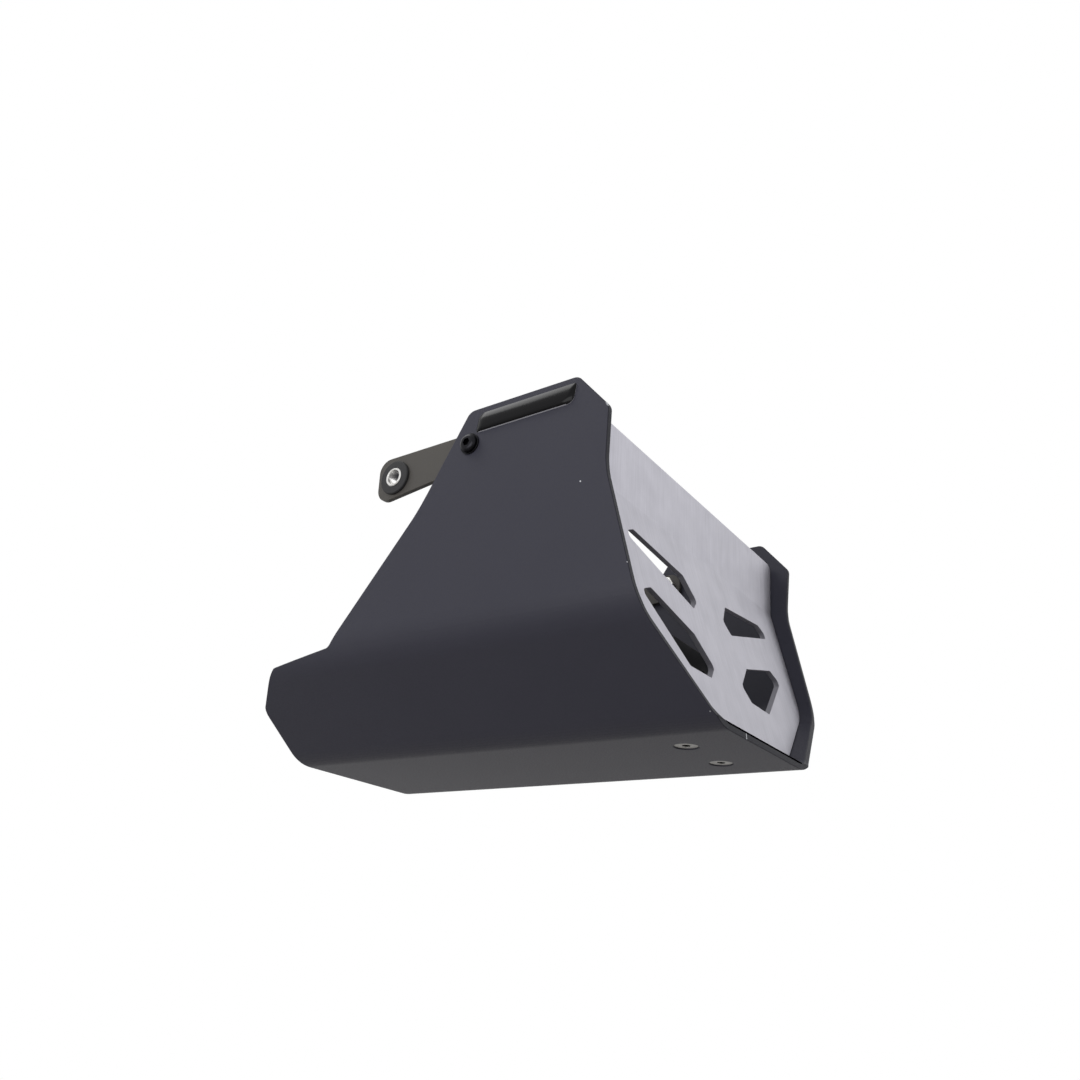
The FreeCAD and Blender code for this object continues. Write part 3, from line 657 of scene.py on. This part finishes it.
dome = []
for step in range(DOME_STEPS + 1):
    angle = math.pi / 2 * step / DOME_STEPS
    dome.append((BUTTON_FLAT + (BUTTON_RADIUS - BUTTON_FLAT) * math.cos(angle),
                 BUTTON_RIM + (BUTTON_HEIGHT - BUTTON_RIM) * math.sin(angle)))
thread_end = TIP_CHAMFER - SIDE_SCREW_LENGTH
shank = [(THREAD_RADIUS, height) for height in thread_rows(thread_end, -BUTTON_NECK)]
tip = [(0, -SIDE_SCREW_LENGTH), (THREAD_RADIUS - TIP_CHAMFER, -SIDE_SCREW_LENGTH)]
under_head = [(THREAD_RADIUS, 0), (BUTTON_RADIUS - BUTTON_EASE, 0), (BUTTON_RADIUS, BUTTON_EASE)]
button_screw = turned("button_screw", [*tip, *shank, *under_head, *dome, (0, BUTTON_HEIGHT)])
cut_thread(button_screw, thread_end, -BUTTON_NECK)
combine(button_screw, hexagon_bar(KEY_FLATS, BUTTON_HEIGHT - KEY_DEPTH, BUTTON_HEIGHT + CUTTER_OVERRUN),
        "DIFFERENCE")
for side in SIDES:
    screw = twin(button_screw, f"button_screw_{side}")
    seat = middle(f"side_washer_{side}") + outwards[side] * WASHER_THICKNESS / 2 * MM
    set_in_place(screw, seat, outwards[side])
    smooth(screw)
    dress(screw, f"side_screw_{side}", black_zinc)
bpy.data.objects.remove(button_screw)

# Strap eyes
# A moulded rubber grommet, grooved to clip into the strap's eye, and a steel sleeve in it that stops the
# bike's bolt from crushing the rubber.
EYE_RADIUS = 7.5
GROMMET_RADIUS = 10.0
GROMMET_HALF = 3.5
GROOVE_HALF = 1.5
LIP_ROUND = 0.7
SLEEVE_RADIUS = 5.5
SLEEVE_BORE = 4.2
SLEEVE_HALF = 4.0
SLEEVE_ROUND = 0.35
RUBBER_GRAIN = 0.3
RUBBER_RELIEF = 0.05

lip = [(EYE_RADIUS, GROOVE_HALF), (GROMMET_RADIUS - LIP_ROUND / 2, GROOVE_HALF),
       (GROMMET_RADIUS, GROOVE_HALF + LIP_ROUND / 2), (GROMMET_RADIUS, GROMMET_HALF - LIP_ROUND),
       (GROMMET_RADIUS - LIP_ROUND / 3, GROMMET_HALF - LIP_ROUND / 3),
       (GROMMET_RADIUS - LIP_ROUND, GROMMET_HALF), (SLEEVE_RADIUS, GROMMET_HALF)]
grommet = turned("grommet", [(radius, -height) for radius, height in reversed(lip)] + lip
                 + [(SLEEVE_RADIUS, -GROMMET_HALF)])
sleeve = rounded_ring("sleeve", SLEEVE_BORE, SLEEVE_RADIUS, -SLEEVE_HALF, SLEEVE_HALF,
                      SLEEVE_ROUND)

# Rubber: near black and matt, with a fine mould grain about 0.3 mm wide.
rubber, rubber_tree, rubber_shader, rubber_place = new_material("moulded_rubber")
skin = add(rubber_tree, "ShaderNodeTexNoise", {"Vector": rubber_place, "Scale": 1 / (RUBBER_GRAIN * MM),
                                               "Detail": 3.0})
soot = add(rubber_tree, "ShaderNodeMix", {0: skin.outputs["Fac"], 6: linear("#18181a"), 7: linear("#232325")},
           data_type="RGBA")
skin_bump = add(rubber_tree, "ShaderNodeBump", {"Height": skin.outputs["Fac"], "Strength": 0.15,
                                                "Distance": RUBBER_RELIEF * MM})
rubber_tree.links.new(soot.outputs[2], rubber_shader.inputs["Base Color"])
rubber_tree.links.new(skin_bump.outputs["Normal"], rubber_shader.inputs["Normal"])
rubber_shader.inputs["Roughness"].default_value = 0.72

for side in SIDES:
    eye = Vector(mounts[f"strap_eye_{side}"]["pos_m"])
    for form, kind, finish in ((grommet, "grommet", rubber), (sleeve, "sleeve", stainless)):
        piece = twin(form, f"eye_{kind}_{side}")
        set_in_place(piece, eye, outwards[side])
        smooth(piece)
        dress(piece, f"{kind}_{side}", finish)
bpy.data.objects.remove(grommet)
bpy.data.objects.remove(sleeve)

# Badge
# Plain domed label, stuck to the right wall: black film under a thick drop of clear resin, which bulges to a
# glossy crown and rounds over at its rim.
BADGE_LENGTH = 62.0
BADGE_WIDTH = 11.0
BADGE_SLANT = 2.0
BADGE_CORNERS = {(1, 1): 1.6, (1, -1): 4.0, (-1, 1): 4.0, (-1, -1): 1.6}
CORNER_SEGMENTS = 8
RIM_HEIGHT = 0.4
RIM_STEEPNESS = 0.64
CROWN_HEIGHT = 1.4
CROWN_WIDTH = 5.2
CROWN_FULLNESS = 2.5
CROWN_LINE = -2.8
CROWN_STEPS = 12
CROWN_ANGLE = math.radians(50)
RESIN_WAVE = 12.0
RESIN_RELIEF = 0.2

bpy.ops.object.select_all(action="DESELECT")
bpy.ops.mesh.primitive_plane_add(size=MM)
badge = bpy.context.view_layer.objects.active
badge.name = "domed_badge"
bpy.ops.object.mode_set(mode="EDIT")
bpy.ops.transform.resize(value=(BADGE_LENGTH, BADGE_WIDTH, 1))
for (end, edge), radius in BADGE_CORNERS.items():
    bpy.ops.mesh.select_all(action="DESELECT")
    bpy.ops.object.mode_set(mode="OBJECT")
    corner = max(badge.data.vertices, key=lambda vertex: vertex.co.x * end + vertex.co.y * edge)
    corner.select = True
    bpy.ops.object.mode_set(mode="EDIT")
    bpy.ops.mesh.bevel(offset=radius * MM, segments=CORNER_SEGMENTS, affect="VERTICES")
bpy.ops.object.mode_set(mode="OBJECT")
for vertex in badge.data.vertices:
    vertex.co.x += BADGE_SLANT * vertex.co.y / BADGE_WIDTH
bpy.ops.object.mode_set(mode="EDIT")
bpy.ops.mesh.select_all(action="SELECT")
bpy.ops.mesh.extrude_region_move(TRANSFORM_OT_translate={"value": (0, 0, RIM_HEIGHT * MM)})
for step in range(CROWN_STEPS):
    before, after = (CROWN_WIDTH * at / CROWN_STEPS for at in (step, step + 1))
    low, high = (CROWN_HEIGHT * (1 - (1 - at / CROWN_WIDTH) ** CROWN_FULLNESS) for at in (before, after))
    bpy.ops.mesh.extrude_region_move(TRANSFORM_OT_translate={"value": (0, 0, (high - low) * MM)})
    bpy.ops.transform.resize(value=((BADGE_LENGTH - 2 * after) / (BADGE_LENGTH - 2 * before),
                                    (BADGE_WIDTH - 2 * after) / (BADGE_WIDTH - 2 * before), 1),
                             center_override=(0, CROWN_LINE * MM, 0))
bpy.ops.mesh.select_all(action="SELECT")
bpy.ops.mesh.normals_make_consistent(inside=False)
bpy.ops.object.mode_set(mode="OBJECT")
badge_foot = middle("badge") - outwards["right"] * (RIM_HEIGHT + CROWN_HEIGHT) / 2 * MM
set_in_place(badge, badge_foot, outwards["right"])
select_only(badge)
bpy.ops.object.shade_smooth_by_angle(angle=CROWN_ANGLE)

# Clear resin over black: deep and very glossy, with the faint waviness of poured resin about 12 mm across.
resin, resin_tree, resin_shader, resin_place = new_material("black_doming_resin")
wave = add(resin_tree, "ShaderNodeTexNoise", {"Vector": resin_place, "Scale": 1 / (RESIN_WAVE * MM)})
ink = add(resin_tree, "ShaderNodeMix", {0: wave.outputs["Fac"], 6: linear("#08080a"), 7: linear("#0c0c0f")},
          data_type="RGBA")
wave_bump = add(resin_tree, "ShaderNodeBump", {"Height": wave.outputs["Fac"], "Strength": 0.1,
                                               "Distance": RESIN_RELIEF * MM})
resin_tree.links.new(ink.outputs[2], resin_shader.inputs["Base Color"])
resin_tree.links.new(wave_bump.outputs["Normal"], resin_shader.inputs["Normal"])
resin_shader.inputs["Roughness"].default_value = 0.16
resin_shader.inputs["Specular IOR Level"].default_value = 0.13

# Painted highlight along the rim: where the rim is steep, the resin is painted pale grey, a thin pale line of
# light.
clear, _, rim_highlight_shader, _ = new_material("painted_highlight_resin_rim")
rim_highlight_shader.inputs["Base Color"].default_value = linear("#a2a2aa")
rim_highlight_shader.inputs["Roughness"].default_value = 0.25
badge.data.materials.append(resin)
badge.data.materials.append(clear)
# The steep rim faces take the pale painted highlight.
for face in badge.data.polygons:
    face.material_index = int(abs(face.normal.dot(outwards["right"])) < RIM_STEEPNESS)
dress(badge, "badge", resin)

# Portrait
# Camera at the photograph's angle: from the front right, below the guard's bottom, with a slight roll.
CAMERA_PLACE = Vector((328.26, -453.93, -113.15)) * MM
CAMERA_AZIMUTH = math.radians(36.58)
CAMERA_ELEVATION = math.radians(24.57)
CAMERA_ROLL = math.radians(4.29)
CAMERA_LENS = 32.51
CAMERA_SENSOR = 36.0
CAMERA_CLIP = 10 * MM

camera = bpy.data.objects.new("portrait_camera", bpy.data.cameras.new("portrait_camera"))
bpy.context.collection.objects.link(camera)
camera.data.sensor_width = CAMERA_SENSOR
camera.data.lens = CAMERA_LENS
camera.data.clip_start = CAMERA_CLIP
camera.matrix_world = (Matrix.Translation(CAMERA_PLACE)
                       @ Matrix.Rotation(CAMERA_AZIMUTH, 4, "Z")
                       @ Matrix.Rotation(math.pi / 2 + CAMERA_ELEVATION, 4, "X")
                       @ Matrix.Rotation(CAMERA_ROLL, 4, "Z"))
bpy.context.scene.camera = camera

# Studio
# A plain pale floor well below the guard, a white surround and three large soft lamps.
FLOOR_DROP = 0.30
FLOOR_SPAN = 4.0
FLOOR_FADE_START = 0.95
FLOOR_FADE_END = 1.3
PAPER_CLOUD = 400.0
FILL_STRENGTH = 0.3
WHITE_STRENGTH = 1.0

bpy.ops.object.select_all(action="DESELECT")
bpy.ops.mesh.primitive_plane_add(size=FLOOR_SPAN, location=(0, 0, -FLOOR_DROP))
floor = bpy.context.view_layer.objects.active
floor.name = "studio_floor"
bpy.ops.object.transform_apply()

# Paper: matt and very slightly warm. It fades out towards the surround, so the ground has no edge.
paper, paper_tree, paper_shader, paper_place = new_material("matt_white_paper")
fibre = add(paper_tree, "ShaderNodeTexNoise", {"Vector": paper_place, "Scale": 1 / (PAPER_CLOUD * MM)})
tint = add(paper_tree, "ShaderNodeMix", {0: fibre.outputs["Fac"], 6: linear("#e2dfdb"), 7: linear("#e6e3df")},
           data_type="RGBA")
reach = add(paper_tree, "ShaderNodeVectorMath", {0: paper_place, 1: (0, 0, -FLOOR_DROP)},
            operation="DISTANCE")
fade = add(paper_tree, "ShaderNodeMapRange", {"Value": reach.outputs["Value"], "From Min": FLOOR_FADE_START,
                                              "From Max": FLOOR_FADE_END, "To Min": 1.0, "To Max": 0.0})
paper_tree.links.new(tint.outputs[2], paper_shader.inputs["Base Color"])
paper_tree.links.new(fade.outputs[0], paper_shader.inputs["Alpha"])
paper_shader.inputs["Roughness"].default_value = 0.9
floor.data.materials.append(paper)

# Surround: plain white to the eye and in reflections, and a weaker fill on everything else.
world = bpy.data.worlds.new("white_surround")
bpy.context.scene.world = world
world.use_nodes = True
sky = world.node_tree
sky.nodes.clear()
path = add(sky, "ShaderNodeLightPath", {})
seen = add(sky, "ShaderNodeMath", {0: path.outputs["Is Camera Ray"], 1: path.outputs["Is Glossy Ray"]},
           operation="MAXIMUM")
seen = add(sky, "ShaderNodeMath", {0: seen.outputs[0], 1: path.outputs["Is Transmission Ray"]},
           operation="MAXIMUM")
fill = add(sky, "ShaderNodeBackground", {"Color": (1, 1, 1, 1), "Strength": FILL_STRENGTH})
white = add(sky, "ShaderNodeBackground", {"Color": (1, 1, 1, 1), "Strength": WHITE_STRENGTH})
surround = add(sky, "ShaderNodeMixShader", {0: seen.outputs[0], 1: fill.outputs[0], 2: white.outputs[0]})
add(sky, "ShaderNodeOutputWorld", {"Surface": surround.outputs[0]})


def soft_lamp(name, place, aim, size, watts):
    """Square lamp at a place, turned to a point, with its width in metres and its power."""
    lamp = bpy.data.objects.new(name, bpy.data.lights.new(name, "AREA"))
    bpy.context.collection.objects.link(lamp)
    lamp.data.size = size
    lamp.data.energy = watts
    lamp.location = place
    lamp.rotation_euler = (Vector(aim) - Vector(place)).to_track_quat("-Z", "Y").to_euler()


soft_lamp("side_lamp", (0.05, -1.1, -0.12), (0, 0, 0.06), 0.9, 7.2)
soft_lamp("front_lamp", (1.4, 0.9, 1.0), (0.1, 0, 0.08), 1.2, 6)
soft_lamp("top_lamp", (-0.75, -0.6, 1.35), (0, 0, 0.08), 0.6, 4)

bpy.context.scene.view_settings.view_transform = "Standard"
